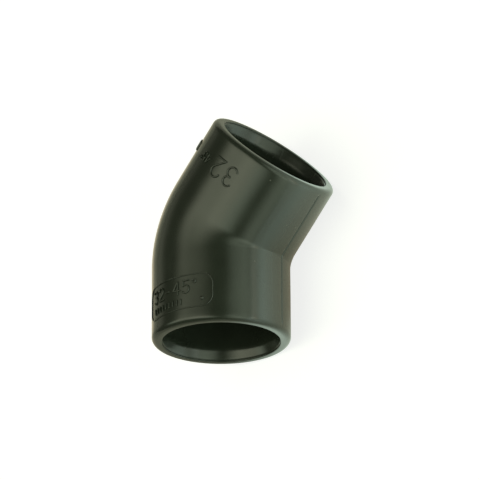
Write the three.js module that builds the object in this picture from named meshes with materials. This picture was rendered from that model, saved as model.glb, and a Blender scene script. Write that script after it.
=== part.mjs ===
// A 45 degree solvent-weld elbow for 32 mm pipe: one moulding with two equal sockets.
// Millimetres, +Z up. It lies on its side, so its bend is in a level plane.
// The sockets point to -X and +X, both turned towards -Y, which is the inside of the bend.
import * as THREE from "three";
import { LoftGeometry } from "three/addons/geometries/LoftGeometry.js";

// Driving dimensions
const BEND_ANGLE = THREE.MathUtils.degToRad(45);
const OUTER_RADIUS = 20.25;
const CENTRE_TO_FACE = 31; // from where the two socket axes cross to either end face
const BEND_RADIUS = 20.9; // of the centre line; it leaves a tight crease inside the bend
const EDGE_RADIUS = 1.6; // rounding of the outer edge of each end face
const MOUTH_RADIUS = 17.3; // inner edge of the flat end face
const LEAD_IN_DEPTH = 3.3; // cone that guides the pipe in
const SOCKET_RADIUS = 16.1;
const SOCKET_DEPTH = 22; // from the end face to the pipe stop
const PASSAGE_RADIUS = 13.75; // way through between the two pipe stops

// Fineness
const SIDES = 48;
const EDGE_STEPS = 3;
const BEND_STEPS = 9;

// Plastic
const PVC_COLOUR = "#3c4239";
const PVC_ROUGHNESS = 0.38;

// The centre line, measured from the middle of the bend
const HALF_BEND = BEND_ANGLE / 2;
const BEND_END = BEND_RADIUS * HALF_BEND;
const FACE = BEND_END + CENTRE_TO_FACE - BEND_RADIUS * Math.tan(HALF_BEND);

// One round section: radius, at a distance along the centre line.
// A flat is lowest, so that the elbow lies steadily on its side.
function ring({ along, radius }) {
  const turn = THREE.MathUtils.clamp(along / BEND_RADIUS, -HALF_BEND, HALF_BEND);
  const straight = along - turn * BEND_RADIUS;
  const forward = new THREE.Vector3(Math.cos(turn), -Math.sin(turn), 0);
  const outward = new THREE.Vector3(Math.sin(turn), Math.cos(turn), 0);
  const up = new THREE.Vector3(0, 0, 1);
  const centre = outward
    .clone()
    .multiplyScalar(BEND_RADIUS)
    .addScaledVector(forward, straight);
  return Array.from({ length: SIDES }, (_, i) => {
    const angle = (2 * Math.PI * (i + 0.5)) / SIDES;
    return centre
      .clone()
      .addScaledVector(outward, radius * Math.cos(angle))
      .addScaledVector(up, radius * Math.sin(angle));
  });
}

// The outer wall from the middle of the bend to the end face, with its rounded edge
function outerWall() {
  const edge = Array.from({ length: EDGE_STEPS + 1 }, (_, i) => {
    const angle = (Math.PI / 2) * (i / EDGE_STEPS);
    return {
      along: FACE - EDGE_RADIUS * (1 - Math.sin(angle)),
      radius: OUTER_RADIUS - EDGE_RADIUS * (1 - Math.cos(angle)),
    };
  });
  return [...bendWall(OUTER_RADIUS), ...edge];
}

// The bore from the end face to the middle of the bend: lead-in, socket, pipe stop, passage
function bore() {
  return [
    { along: FACE, radius: MOUTH_RADIUS },
    { along: FACE - LEAD_IN_DEPTH, radius: SOCKET_RADIUS },
    { along: FACE - SOCKET_DEPTH, radius: SOCKET_RADIUS },
    { along: FACE - SOCKET_DEPTH, radius: PASSAGE_RADIUS },
    ...bendWall(PASSAGE_RADIUS).reverse(),
  ];
}

// Half of the bend at one radius, from just past its middle to its end
function bendWall(radius) {
  const step = (2 * BEND_END) / BEND_STEPS;
  return Array.from({ length: Math.ceil(BEND_STEPS / 2) }, (_, i) => ({
    along: step / 2 + i * step,
    radius,
  }));
}

const otherHalf = (profile) =>
  profile.map(({ along, radius }) => ({ along: -along, radius })).reverse();

function elbowBody() {
  const half = [...outerWall(), ...bore()];
  const profile = [...half, ...otherHalf(half)];
  const sections = [...profile, profile[0]].map(ring);
  const material = new THREE.MeshStandardMaterial({
    color: PVC_COLOUR,
    roughness: PVC_ROUGHNESS,
    metalness: 0,
  });
  const mesh = new THREE.Mesh(new LoftGeometry(sections), material);
  mesh.name = "elbow_body";
  return mesh;
}

// The origin is below the middle of the elbow's box, on the surface that it lies on
const elbow = new THREE.Group();
elbow.add(elbowBody());
const box = new THREE.Box3().setFromObject(elbow);
const middle = box.getCenter(new THREE.Vector3());
elbow.children[0].position.set(-middle.x, -middle.y, -box.min.z);

export default elbow;
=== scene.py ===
"""A 45 degree plastic elbow with two equal sockets.

The moulded body with its raised marks, its plastic, and the studio that it lies in.
"""

import math

import bmesh
import bpy
import numpy as np
from mathutils import Matrix, Vector


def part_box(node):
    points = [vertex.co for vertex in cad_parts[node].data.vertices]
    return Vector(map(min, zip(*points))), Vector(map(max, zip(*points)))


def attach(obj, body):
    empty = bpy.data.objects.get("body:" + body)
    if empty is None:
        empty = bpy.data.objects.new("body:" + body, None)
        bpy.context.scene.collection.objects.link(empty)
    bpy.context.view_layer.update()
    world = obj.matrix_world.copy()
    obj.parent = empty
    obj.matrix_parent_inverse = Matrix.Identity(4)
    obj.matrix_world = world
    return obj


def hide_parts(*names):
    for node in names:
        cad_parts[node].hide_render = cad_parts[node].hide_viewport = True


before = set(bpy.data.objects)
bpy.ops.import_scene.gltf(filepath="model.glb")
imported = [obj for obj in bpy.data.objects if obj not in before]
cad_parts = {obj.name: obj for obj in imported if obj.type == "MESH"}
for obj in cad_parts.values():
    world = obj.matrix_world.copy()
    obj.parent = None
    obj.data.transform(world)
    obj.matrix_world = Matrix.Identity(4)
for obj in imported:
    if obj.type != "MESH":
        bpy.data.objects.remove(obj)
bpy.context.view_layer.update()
MM = 0.001

# --- Sizes of the moulding, in millimetres. The box of the CAD body gives its place. ---
HALF_BEND = math.radians(22.5)
CENTRE_TO_FACE = 31.0
BEND_RADIUS = 20.9
EDGE_RADIUS = 1.6
MOUTH_RADIUS = 17.3
LIP_RADIUS = 0.35
LEAD_IN_DEPTH = 3.3
SOCKET_RADIUS = 16.1
SOCKET_DEPTH = 22.0
PASSAGE_RADIUS = 13.75
STOP_FILLET = 0.5

# The mould's parting line in the plane of the bend, and a fine groove under it on the inside of the bend
PARTING_HEIGHT = 0.03
PARTING_WIDTH = 0.17
GROOVE_DEPTH = 0.3
GROOVE_WIDTH = 0.3
GROOVE_ANGLE = math.radians(-103.5)

# A fine groove in the lead-in cone, just inside the lip, and how many widths it reaches each way
LIP_GROOVE_DEPTH = 0.14
LIP_GROOVE_WIDTH = 0.15
LIP_GROOVE_REACH = 2

# Gentle waves of the outer wall: how many go round, the length of tube for one radian, phase and share
RIPPLE = 0.012
WAVES = ((3, 6.1, 0.4, 1.0), (5, -3.7, 2.1, 0.7), (11, 2.3, 1.2, 0.5))

# Columns round the body: evenly spread ones, and on each side of a fine line some that lie closer together
COLUMNS = 360
LINE_COLUMNS = 5
COLUMNS_PER_WIDTH = 3
ANGLE_DIGITS = 9

# Points in each curved stretch of the body's section, and the spacing in each straight one
OUTER_BEND_POINTS = 20
INNER_BEND_POINTS = 12
EDGE_POINTS = 10
LIP_POINTS = 6
LIP_GROOVE_POINTS = 13
STOP_POINTS = 5
WALL_STEP = 1.0
CONE_STEP = 0.6
SOCKET_STEP = 1.2

low, high = (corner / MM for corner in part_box("elbow_body"))
OUTER_RADIUS = (high.z - low.z) / 2
MIDDLE_Z = (high.z + low.z) / 2
PIVOT_Y = high.y - OUTER_RADIUS - BEND_RADIUS
BEND_END = BEND_RADIUS * HALF_BEND
FACE = BEND_END + CENTRE_TO_FACE - BEND_RADIUS * math.tan(HALF_BEND)


def on_line(along):
    """Centre and outward direction of the sections at distances along the centre line from its middle."""
    along = np.asarray(along, float)
    turn = np.clip(along / BEND_RADIUS, -HALF_BEND, HALF_BEND)
    straight = along - turn * BEND_RADIUS
    flat = np.zeros_like(turn)
    forward = np.stack([np.cos(turn), -np.sin(turn), flat], -1)
    outward = np.stack([np.sin(turn), np.cos(turn), flat], -1)
    centre = outward * BEND_RADIUS + forward * straight[..., None]
    return centre + (0, PIVOT_Y, MIDDLE_Z), outward


def on_wall(along, angle, radius):
    """Points at an angle round the tube, from straight up towards the outside of the bend."""
    centre, outward = on_line(along)
    angle, radius = np.asarray(angle)[..., None], np.asarray(radius)[..., None]
    return centre + radius * (np.sin(angle) * outward + np.cos(angle) * np.array((0, 0, 1.0)))


def grid_faces(rows, columns, closed=False):
    """Quads between rings of points, one ring after another, and from the last to the first if closed."""
    faces = []
    for row in range(rows if closed else rows - 1):
        here, there = row * columns, (row + 1) % rows * columns
        for column in range(columns):
            after = (column + 1) % columns
            faces.append((here + column, here + after, there + after, there + column))
    return faces


def end_faces(rings, sides):
    """The faces that close the two ends of a row of rings."""
    return [tuple(range(sides)), tuple(range((rings - 1) * sides, rings * sides))]


def arc(x, y, size, start, end, count=16):
    """Part of a circle as pairs of numbers, between angles in degrees."""
    angles = np.radians(np.linspace(start, end, count))
    return [(x + size * math.cos(angle), y + size * math.sin(angle)) for angle in angles]


# --- The body. Its section is drawn as (along, radius) pairs. ---
def straight_run(start, end, step):
    """Points of a straight stretch between its ends, without them."""
    count = max(2, round(math.dist(start, end) / step) + 1)
    return [tuple(point) for point in np.linspace(start, end, count)[1:-1]]


def outer_section():
    """The outer wall from the middle of the bend to the end face, and then its rounded edge."""
    bend = [(along, OUTER_RADIUS) for along in np.linspace(0, BEND_END, OUTER_BEND_POINTS)[1:]]
    edge = arc(FACE - EDGE_RADIUS, OUTER_RADIUS - EDGE_RADIUS, EDGE_RADIUS, 90, 0, EDGE_POINTS)
    return bend + straight_run(bend[-1], edge[0], WALL_STEP), edge


def lip_groove(lip_end, cone_end):
    """A fine groove in the lead-in cone, with a bell-shaped section that starts at the end of the lip."""
    way = np.subtract(cone_end, lip_end) / math.dist(cone_end, lip_end)
    points = []
    for place in np.linspace(-LIP_GROOVE_REACH, LIP_GROOVE_REACH, LIP_GROOVE_POINTS)[1:]:
        dip = LIP_GROOVE_DEPTH * np.exp(-(place ** 2))
        points.append(tuple(lip_end + way * (place + LIP_GROOVE_REACH) * LIP_GROOVE_WIDTH + (0, dip)))
    return points


def bore_section():
    """The bore from its rounded lip through the lead-in cone, the socket and the pipe stop to the passage."""
    slope = math.atan((MOUTH_RADIUS - SOCKET_RADIUS) / LEAD_IN_DEPTH)
    lip_middle = MOUTH_RADIUS + LIP_RADIUS * (1 / math.cos(slope) - math.tan(slope))
    lip = arc(FACE - LIP_RADIUS, lip_middle, LIP_RADIUS, 0, math.degrees(slope) - 90, LIP_POINTS)
    cone_end = (FACE - LEAD_IN_DEPTH, SOCKET_RADIUS)
    lip += lip_groove(lip[-1], cone_end)
    stop = FACE - SOCKET_DEPTH
    root = (stop, SOCKET_RADIUS)
    ledge = arc(stop - STOP_FILLET, PASSAGE_RADIUS + STOP_FILLET, STOP_FILLET, 0, -90, STOP_POINTS)
    bend = [(along, PASSAGE_RADIUS) for along in np.linspace(BEND_END, 0, INNER_BEND_POINTS)[:-1]]
    return (lip + straight_run(lip[-1], cone_end, CONE_STEP) + [cone_end]
            + straight_run(cone_end, root, SOCKET_STEP) + [root] + ledge + bend)


# The angle round the tube of each fine line along it, how far the line stands proud, and its width
FINE_LINES = (
    (math.pi / 2, PARTING_HEIGHT, PARTING_WIDTH),
    (-math.pi / 2, PARTING_HEIGHT, PARTING_WIDTH),
    (GROOVE_ANGLE, -GROOVE_DEPTH, GROOVE_WIDTH),
)


def uneven(along, angle):
    """How far the outer wall stands proud of a true round: gentle waves and fine lines."""
    waves, lines = 0, 0
    for count, length, phase, share in WAVES:
        waves = waves + share * np.sin(count * angle + along / length + phase)
    for place, height, width in FINE_LINES:
        gap = 2 * OUTER_RADIUS * np.sin((angle - place) / 2)
        lines = lines + height * np.exp(-((gap / width) ** 2))
    return RIPPLE * waves + lines


def body_columns():
    """Angles round the tube, closer together at the fine lines, and rounded so that equal ones merge."""
    even = np.linspace(-math.pi, math.pi, COLUMNS, endpoint=False)
    steps = np.arange(-LINE_COLUMNS, LINE_COLUMNS + 1)
    fine = [place + steps * width / COLUMNS_PER_WIDTH / OUTER_RADIUS for place, _, width in FINE_LINES]
    return np.unique(np.concatenate([even, *fine]).round(ANGLE_DIGITS))


def body_surface():
    """Points and faces of the body: one closed wall, right round its section. Only its outside is uneven."""
    wall, edge = outer_section()
    half = [(*point, 1) for point in wall] + [(*point, 0) for point in edge + bore_section()]
    other_half = [(-along, radius, outside) for along, radius, outside in reversed(half)]
    section = np.array([(0, OUTER_RADIUS, 1)] + half + [(0, PASSAGE_RADIUS, 0)] + other_half)
    along, radius, outside = (section[:, k:k + 1] for k in range(3))
    along, angle = np.broadcast_arrays(along, body_columns()[None, :])
    points = on_wall(along, angle, radius + outside * uneven(along, angle))
    return points.reshape(-1, 3), grid_faces(*angle.shape, closed=True)


# --- Raised marks, drawn flat in millimetres: x along the reading direction, y up ---
MARK_HEIGHT = 0.42
MARK_ROOT = 0.12
BIG_STROKE = 0.62
STROKE = 0.5
THIN_STROKE = 0.36
FRAME_HEIGHT = 0.26
PIP_RADIUS = 0.6
PIP_HEIGHT = 0.5
MARK_TO_FACE = 9.4
RIGHT_MARK_ANGLE = math.radians(-28)

# Fineness of the marks, the rings that round off a ridge's ends and a pip's top, in degrees, and the gap
# under which a stroke counts as closed
RIDGE_SIDES = 12
PIP_SIDES = 20
STROKE_STEP = 0.35
END_RINGS = (78, 55, 30)
PIP_RINGS = (-90, 0, 25, 50, 72)
CLOSED_GAP = 1e-6

# Plain figures one unit tall, and the distance from the start of one to the next
FIGURES = {
    "2": [arc(0.29, 0.71, 0.29, 165, -42) + [(0, 0)], [(0, 0), (0.6, 0)]],
    "3": [arc(0.28, 0.75, 0.25, 150, -90), arc(0.27, 0.26, 0.27, 92, -150)],
    "4": [[(0.45, 0), (0.45, 1)], [(0.45, 1), (0, 0.3)], [(0, 0.3), (0.62, 0.3)]],
    "5": [[(0.54, 1), (0.1, 1)], [(0.1, 1), (0.06, 0.56)], arc(0.27, 0.32, 0.32, 132, -145)],
    "-": [[(0.05, 0.42), (0.45, 0.42)]],
    "o": [arc(0.14, 0.86, 0.14, 0, 360)],
}
ADVANCE = 0.86


def figures(text, height, x, y):
    """Strokes of a row of figures that starts at x, y."""
    strokes = []
    for i, name in enumerate(text):
        shift = x + i * ADVANCE * height
        strokes += [[(shift + px * height, y + py * height) for px, py in stroke] for stroke in FIGURES[name]]
    return strokes


def bars(count, height, pitch, x, y):
    """A row of short upright bars."""
    return [[(x + i * pitch, y), (x + i * pitch, y + height)] for i in range(count)]


def frame_outline(width, height, corner):
    """A rectangle with round corners, closed."""
    x, y = width / 2 - corner, height / 2 - corner
    outline = (arc(x, y, corner, 0, 90) + arc(-x, y, corner, 90, 180)
               + arc(-x, -y, corner, 180, 270) + arc(x, -y, corner, 270, 360))
    return outline + outline[:1]


def resample(stroke):
    """The stroke with its long stretches divided, so that it follows the round wall."""
    points = [stroke[0]]
    for start, end in zip(stroke, stroke[1:]):
        count = max(1, math.ceil(math.dist(start, end) / STROKE_STEP))
        points += [tuple(point) for point in np.linspace(start, end, count + 1)[1:]]
    return np.array(points)


def ridge(stroke, width, height, to_wall):
    """Points and faces of a ridge with a round top along a stroke, with round ends if the stroke is open."""
    path = resample(stroke)
    closed = math.dist(path[0], path[-1]) < CLOSED_GAP
    if closed:
        path = path[:-1]
        along = np.roll(path, -1, 0) - np.roll(path, 1, 0)
    else:
        along = np.gradient(path, axis=0)
    along /= np.linalg.norm(along, axis=1, keepdims=True)
    scale = np.ones(len(path))
    if not closed:
        taper = np.radians(END_RINGS)
        reach, thin = np.sin(taper)[:, None] * width / 2, np.cos(taper)
        path = np.concatenate([path[0] - along[0] * reach, path, path[-1] + along[-1] * reach[::-1]])
        start, end = (np.repeat(way, len(taper), 0) for way in (along[:1], along[-1:]))
        along = np.concatenate([start, along, end])
        scale = np.concatenate([thin, scale, thin[::-1]])
    side = np.stack([-along[:, 1], along[:, 0]], -1)
    turn = np.linspace(0, 2 * math.pi, RIDGE_SIDES, endpoint=False)
    across = (np.cos(turn) * width / 2)[None, :] * scale[:, None]
    lift = np.where(np.sin(turn) > 0, height, MARK_ROOT) * np.sin(turn) * scale[:, None]
    place = path[:, None, :] + side[:, None, :] * across[..., None]
    points = to_wall(place[..., 0], place[..., 1], OUTER_RADIUS + lift).reshape(-1, 3)
    faces = grid_faces(len(path), RIDGE_SIDES, closed)
    if not closed:
        faces += end_faces(len(path), RIDGE_SIDES)
    return points, faces


def pip(x, y, to_wall):
    """Points and faces of a small round pip."""
    turn = np.linspace(0, 2 * math.pi, PIP_SIDES, endpoint=False)
    rise = np.radians(PIP_RINGS)
    across = np.cos(rise) * PIP_RADIUS
    across[0] = PIP_RADIUS
    lift = np.where(rise < 0, MARK_ROOT, PIP_HEIGHT) * np.sin(rise)
    px, py = x + across[:, None] * np.cos(turn), y + across[:, None] * np.sin(turn)
    points = to_wall(px, py, OUTER_RADIUS + np.broadcast_to(lift[:, None], px.shape)).reshape(-1, 3)
    return points, grid_faces(*px.shape) + end_faces(*px.shape)


def wall_mapping(side, angle):
    """Lays flat drawings on the socket on one side, with their tops towards the bend."""
    def to_wall(x, y, radius):
        along = side * (FACE - MARK_TO_FACE - y)
        return on_wall(along, angle + side * x / OUTER_RADIUS, radius)
    return to_wall


def mark_shells():
    """All the raised marks: a framed size and angle on the left socket, loose figures on the right one."""
    left, right = wall_mapping(-1, 0.0), wall_mapping(1, RIGHT_MARK_ANGLE)
    outline = frame_outline(width=25.6, height=10.0, corner=3.2)
    shells = [ridge(outline, THIN_STROKE, FRAME_HEIGHT, left), pip(x=9.7, y=-2.6, to_wall=left)]
    rows = (
        (figures("32-45o", height=3.8, x=-9.6, y=-0.4), STROKE, left),
        (bars(9, height=1.5, pitch=1.45, x=-8.6, y=-3.6), THIN_STROKE, left),
        (figures("32", height=5.8, x=0, y=-2.9), BIG_STROKE, right),
        (figures("45o", height=2.6, x=10.8, y=-1.3), THIN_STROKE, right),
        (bars(3, height=2.6, pitch=1.5, x=23.4, y=-1.3), STROKE, right),
    )
    for strokes, width, to_wall in rows:
        shells += [ridge(stroke, width, MARK_HEIGHT, to_wall) for stroke in strokes]
    return shells


def elbow(material):
    """The moulding: the body and the marks that stand on it, in one mesh of closed shells."""
    points, faces = [], []
    for shell_points, shell_faces in [body_surface()] + mark_shells():
        first = sum(len(p) for p in points)
        points.append(shell_points)
        faces += [tuple(first + corner for corner in face) for face in shell_faces]
    mesh = bpy.data.meshes.new("elbow_moulding")
    mesh.from_pydata((np.concatenate(points) * MM).tolist(), [], faces)
    edit = bmesh.new()
    edit.from_mesh(mesh)
    bmesh.ops.recalc_face_normals(edit, faces=edit.faces)
    edit.to_mesh(mesh)
    edit.free()
    mesh.shade_smooth()
    mesh.materials.append(material)
    piece = bpy.data.objects.new("elbow_moulding", mesh)
    bpy.context.scene.collection.objects.link(piece)
    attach(piece, "root")
    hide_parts("elbow_body")


# --- Node trees ---
class Nodes:
    """Short names for the nodes of a tree. The place is the tree's texture coordinate of the kind named."""

    def __init__(self, tree, coordinate):
        self.tree = tree
        self.place = tree.nodes.new("ShaderNodeTexCoord").outputs[coordinate]

    def node(self, kind, inputs, **settings):
        """A new node, with settings of its own and a value or a link for each input."""
        node = self.tree.nodes.new(kind)
        for name, value in settings.items():
            setattr(node, name, value)
        for name, value in inputs.items():
            if isinstance(value, bpy.types.NodeSocket):
                self.tree.links.new(value, node.inputs[name])
            else:
                node.inputs[name].default_value = value
        return node

    def mix(self, factor, a, b):
        """A colour between a and b. The node's sockets share their names, so they are picked by number."""
        return self.node("ShaderNodeMix", {0: factor, 6: a, 7: b}, data_type="RGBA").outputs[2]


class Surface(Nodes):
    """A material under construction."""

    def __init__(self, name):
        self.material = bpy.data.materials.new(name)
        self.material.use_nodes = True
        super().__init__(self.material.node_tree, "Object")
        self.shader = self.tree.nodes["Principled BSDF"]

    def noise(self, size, detail, place=None, roughness=0.5):
        """Noise from 0 to 1. Its broadest features are about one size, and more detail adds finer ones."""
        inputs = {"Vector": place or self.place, "Scale": 1 / size, "Detail": detail, "Roughness": roughness}
        return self.node("ShaderNodeTexNoise", inputs).outputs["Fac"]

    def stretched(self, scale):
        """The place in the object, with each axis scaled."""
        return self.node("ShaderNodeMapping", {"Vector": self.place, "Scale": scale}).outputs["Vector"]

    def remap(self, value, low, high, to_low=0.0, to_high=1.0):
        """A value's range turned into another, and held inside it."""
        inputs = {"Value": value, "From Min": low, "From Max": high, "To Min": to_low, "To Max": to_high}
        return self.node("ShaderNodeMapRange", inputs).outputs["Result"]

    def math(self, operation, a, b):
        """The sum, product or the like of two values."""
        return self.node("ShaderNodeMath", {0: a, 1: b}, operation=operation).outputs[0]

    def bump(self, height, distance, below=None):
        """A normal that follows a height, on top of another bump if there is one below."""
        inputs = {"Height": height, "Distance": distance, "Strength": 1.0}
        if below:
            inputs["Normal"] = below
        return self.node("ShaderNodeBump", inputs).outputs["Normal"]

    def link(self, value, name):
        """Joins a value to one of the shader's inputs."""
        self.tree.links.new(value, self.shader.inputs[name])


# --- Plastic. Sizes of features and heights of bumps are in metres. ---
PVC_DARK = (0.0145, 0.018, 0.013, 1)
PVC_LIGHT = (0.0215, 0.0265, 0.019, 1)
PVC_SCUFFED = (0.06, 0.066, 0.052, 1)
DUST_COLOUR = (0.2, 0.19, 0.16, 1)
PVC_SMOOTHEST = 0.185
PVC_ROUGHEST = 0.235
PVC_IOR = 1.53
CLOUD_SIZE = 0.012
FLOW_SIZE = 0.02
GRAIN_SIZE = 0.0005
PEEL_SIZE = 0.0028
SCUFF_PATCH_SIZE = 0.009
SCUFF_SIZE = 0.0011
WEAR_SIZE = 0.004
DUST_PER_METRE = 260.0
ALONG_THE_FLOW = (0.35, 1.0, 1.0)
ALONG_THE_SCUFFS = (0.16, 1.0, 1.0)

# The range of each pattern's values that is spread over the whole of its effect
COLOUR_RANGE = (0.7, 1.3)
GRAIN_RANGE = (0.35, 0.75)
PATCH_RANGE = (0.52, 0.72)
STREAK_RANGE = (0.5, 0.72)
EDGE_RANGE = (0.52, 0.62)
WEAR_RANGE = (0.4, 0.65)
SPECK_RANGE = (0.035, 0.06)
CHOSEN_RANGE = (0.62, 0.64)
CLOUD_RANGE = (0.3, 0.7)

# How strongly each thing tints the colour, adds to the roughness and stands out in the normal
GRAIN_TINT, SCUFF_TINT, WEAR_TINT, DUST_TINT = 0.22, 0.1, 0.5, 0.3
LEAST_WEAR, MOST_WEAR = 0.15, 0.8
SCUFF_ROUGHNESS, WEAR_ROUGHNESS, DUST_ROUGHNESS = 0.07, 0.1, 0.3
PEEL_BUMP, GRAIN_BUMP, DUST_BUMP = 0.000012, 0.000002, 0.00002


def pvc_material():
    """Satin moulded plastic: slightly clouded, with orange peel, scuffs, pale edges and a little dust."""
    pvc = Surface("pvc")
    clouds = pvc.noise(CLOUD_SIZE, detail=3)
    flow = pvc.noise(FLOW_SIZE, detail=4, place=pvc.stretched(ALONG_THE_FLOW), roughness=0.6)
    grain = pvc.noise(GRAIN_SIZE, detail=2)
    colour = pvc.mix(pvc.remap(pvc.math("ADD", clouds, flow), *COLOUR_RANGE), PVC_DARK, PVC_LIGHT)
    colour = pvc.mix(pvc.remap(grain, *GRAIN_RANGE, 0.0, GRAIN_TINT), colour, PVC_LIGHT)

    patches = pvc.remap(pvc.noise(SCUFF_PATCH_SIZE, detail=3), *PATCH_RANGE)
    streaks = pvc.noise(SCUFF_SIZE, detail=3, place=pvc.stretched(ALONG_THE_SCUFFS), roughness=0.6)
    scuffs = pvc.math("MULTIPLY", patches, pvc.remap(streaks, *STREAK_RANGE))
    edges = pvc.remap(pvc.node("ShaderNodeNewGeometry", {}).outputs["Pointiness"], *EDGE_RANGE)
    wear = pvc.remap(pvc.noise(WEAR_SIZE, detail=3), *WEAR_RANGE, LEAST_WEAR, MOST_WEAR)
    worn = pvc.math("MULTIPLY", edges, wear)
    colour = pvc.mix(pvc.math("MULTIPLY", scuffs, SCUFF_TINT), colour, PVC_SCUFFED)
    colour = pvc.mix(pvc.math("MULTIPLY", worn, WEAR_TINT), colour, PVC_SCUFFED)

    specks = pvc.node("ShaderNodeTexVoronoi", {"Vector": pvc.place, "Scale": DUST_PER_METRE})
    near = pvc.remap(specks.outputs["Distance"], *SPECK_RANGE, 1.0, 0.0)
    chosen = pvc.remap(specks.outputs["Color"], *CHOSEN_RANGE)
    dust = pvc.math("MULTIPLY", near, chosen)
    pvc.link(pvc.mix(pvc.math("MULTIPLY", dust, DUST_TINT), colour, DUST_COLOUR), "Base Color")

    rough = pvc.remap(clouds, *CLOUD_RANGE, PVC_SMOOTHEST, PVC_ROUGHEST)
    rough = pvc.math("ADD", rough, pvc.math("MULTIPLY", scuffs, SCUFF_ROUGHNESS))
    rough = pvc.math("ADD", rough, pvc.math("MULTIPLY", worn, WEAR_ROUGHNESS))
    pvc.link(pvc.math("ADD", rough, pvc.math("MULTIPLY", dust, DUST_ROUGHNESS)), "Roughness")

    normal = pvc.bump(pvc.noise(PEEL_SIZE, detail=2), PEEL_BUMP)
    normal = pvc.bump(grain, GRAIN_BUMP, normal)
    pvc.link(pvc.bump(dust, DUST_BUMP, normal), "Normal")
    pvc.shader.inputs["IOR"].default_value = PVC_IOR
    return pvc.material


# --- Studio ---
# Soft glows of the sky: azimuth and elevation, width and height, all in degrees, and radiance
OVERHEAD_COLOUR = (0.95, 1, 0.74)
OVERHEAD_GLOWS = (
    (160, 86, 70, 70, 1.65),
    (212, 66, 60, 44, 1.5),
    (130, 62, 52, 42, 1.4),
    (80, 62, 42, 36, 0.75),
    (95, 10, 60, 34, 0.35),
)
SIDE_COLOUR = (0.85, 1, 0.76)
SIDE_GLOWS = (
    (130, 46, 44, 32, 1.5),
    (225, 48, 44, 38, 1.6),
    (240, 8, 44, 40, 1.4),
    (262, 10, 46, 48, 2.0),
    (285, 10, 46, 48, 1.15),
    (308, 8, 48, 52, 1.5),
    (285, 30, 76, 30, 1.15),
)
# Soft glows of the table: azimuth in degrees, distance, width and depth in metres, and radiance
COOL = (0.76, 1, 0.88)
COOL_PATCHES = (
    (272, 0.45, 0.8, 0.66, 3.9),
    (240, 0.28, 0.36, 0.36, 0.8),
    (313, 0.35, 0.6, 0.6, 0.7),
    (248, 0.105, 0.18, 0.18, 1.3),
    (322, 0.14, 0.3, 0.3, 0.75),
    (290, 0.068, 0.13, 0.13, 1.4),
    (201, 0.04, 0.056, 0.052, 1.4),
    (350, 0.038, 0.056, 0.046, 0.95),
)
WARM = (1, 0.82, 0.55)
WARM_PATCHES = (
    (283, 0.23, 0.36, 0.34, 1.6),
    (275, 0.03, 0.12, 0.1, 0.35),
    (95, 0.09, 0.2, 0.16, 0.75),
)
SKY_BASE = (0.08, 0.08, 0.064)
TABLE_BASE = (0.085, 0.077, 0.052)
BACKDROP = (0.97, 0.97, 0.97, 1)

# The floor and the table top under it, sizes in metres
FLOOR_HALF = 3.0
FLOOR_COLOUR = (0.44, 0.44, 0.45, 1)
FLOOR_GLOW = (0.78, 0.78, 0.78, 1)
TABLE_COLOUR = (0.5, 0.5, 0.48, 1)
TABLE_DROP = 0.0005
STAGE_ROUGHNESS = 0.9


def away(azimuth, elevation, distance=1.0):
    """A place seen from the origin in a direction: azimuth from +X towards +Y, both in degrees."""
    turn, rise = math.radians(azimuth), math.radians(elevation)
    level = math.cos(rise)
    return Vector((level * math.cos(turn), level * math.sin(turn), math.sin(rise))) * distance


def sky_glow(azimuth, elevation, wide, tall):
    """Centre, turn and half sizes of a glow on the unit sphere."""
    centre = away(azimuth, elevation)
    half = [math.tan(math.radians(angle) / 2) for angle in (wide, tall)]
    return centre, (-centre).to_track_quat("Z", "Y").to_euler(), (*half, 1)


def table_glow(azimuth, distance, wide, deep):
    """Centre, turn and half sizes of a glow on the table."""
    return away(azimuth, 0, distance), (0, 0, 0), (wide / 2, deep / 2, 1)


def glows(nodes, base, groups, shape):
    """The sum of a base colour and soft round glows, each brightest in its middle and nothing at its edge."""
    total = base
    for colour, rows in groups:
        for *size, radiance in rows:
            centre, turn, half = shape(*size)
            inputs = {"Vector": nodes.place, "Location": centre, "Rotation": turn, "Scale": half}
            local = nodes.node("ShaderNodeMapping", inputs, vector_type="TEXTURE").outputs["Vector"]
            fade = nodes.node("ShaderNodeTexGradient", {"Vector": local}, gradient_type="SPHERICAL")
            inputs = {"Value": fade.outputs["Fac"]}
            soft = nodes.node("ShaderNodeMapRange", inputs, interpolation_type="SMOOTHSTEP")
            inputs = {0: Vector(colour) * radiance, 1: soft.outputs["Result"], 2: total}
            total = nodes.node("ShaderNodeVectorMath", inputs, operation="MULTIPLY_ADD").outputs[0]
    return total


def stage_plane(name, height, colour):
    """A large level plane, and the material on it."""
    mesh = bpy.data.meshes.new(name)
    half = FLOOR_HALF
    corners = [(-half, -half, height), (half, -half, height), (half, half, height), (-half, half, height)]
    mesh.from_pydata(corners, [], [(0, 1, 2, 3)])
    piece = bpy.data.objects.new(name, mesh)
    bpy.context.scene.collection.objects.link(piece)
    surface = Surface(name)
    surface.shader.inputs["Base Color"].default_value = colour
    surface.shader.inputs["Roughness"].default_value = STAGE_ROUGHNESS
    surface.shader.inputs["Emission Strength"].default_value = 1
    surface.material.cycles.emission_sampling = "NONE"
    mesh.materials.append(surface.material)
    return piece, surface


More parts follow.
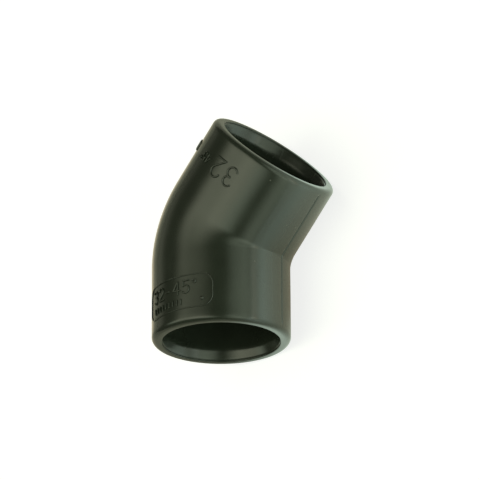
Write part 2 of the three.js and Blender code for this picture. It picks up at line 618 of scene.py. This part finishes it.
def floor():
    """A pale floor for the camera alone, and just under it a glowing table top that lights the plastic."""
    top, surface = stage_plane("floor", 0, FLOOR_COLOUR)
    surface.shader.inputs["Emission Color"].default_value = FLOOR_GLOW
    top.visible_glossy = top.visible_diffuse = top.visible_shadow = False
    table, surface = stage_plane("table", -TABLE_DROP, TABLE_COLOUR)
    groups = (COOL, COOL_PATCHES), (WARM, WARM_PATCHES)
    surface.link(glows(surface, TABLE_BASE, groups, table_glow), "Emission Color")
    table.visible_camera = False


def sky():
    """Soft light, most of it from above and from in front. The camera sees a plain pale backdrop instead."""
    world = bpy.data.worlds.new("sky")
    bpy.context.scene.world = world
    world.use_nodes = True
    nodes = Nodes(world.node_tree, "Generated")
    groups = (OVERHEAD_COLOUR, OVERHEAD_GLOWS), (SIDE_COLOUR, SIDE_GLOWS)
    light = glows(nodes, SKY_BASE, groups, sky_glow)
    seen = nodes.node("ShaderNodeLightPath", {}).outputs["Is Camera Ray"]
    background = world.node_tree.nodes["Background"]
    world.node_tree.links.new(nodes.mix(seen, light, BACKDROP), background.inputs["Color"])
    bpy.context.scene.view_settings.view_transform = "Standard"


# The camera looks along this azimuth, from +Y towards +X, and down by this elevation. Distance is in metres.
CAMERA_AZIMUTH = math.radians(6.733)
CAMERA_ELEVATION = math.radians(43.06)
CAMERA_ROLL = math.radians(69.338)
CAMERA_AIM = Vector((2.30, 2.087, 16.646)) * MM
CAMERA_DISTANCE = 1.1707
LENS = 300
SENSOR_WIDTH = 36
CLIP_START = 0.01


def camera():
    """A long lens from in front and above, rolled so that one socket points down in the picture."""
    level, down = math.cos(CAMERA_ELEVATION), math.sin(CAMERA_ELEVATION)
    look = Vector((math.sin(CAMERA_AZIMUTH) * level, math.cos(CAMERA_AZIMUTH) * level, -down))
    data = bpy.data.cameras.new("camera")
    data.lens = LENS
    data.sensor_width = SENSOR_WIDTH
    data.clip_start = CLIP_START
    piece = bpy.data.objects.new("camera", data)
    turn = look.to_track_quat("-Z", "Y").to_matrix() @ Matrix.Rotation(-CAMERA_ROLL, 3, "Z")
    piece.matrix_world = Matrix.Translation(CAMERA_AIM - look * CAMERA_DISTANCE) @ turn.to_4x4()
    bpy.context.scene.collection.objects.link(piece)
    bpy.context.scene.camera = piece


elbow(pvc_material())
floor()
sky()
camera()
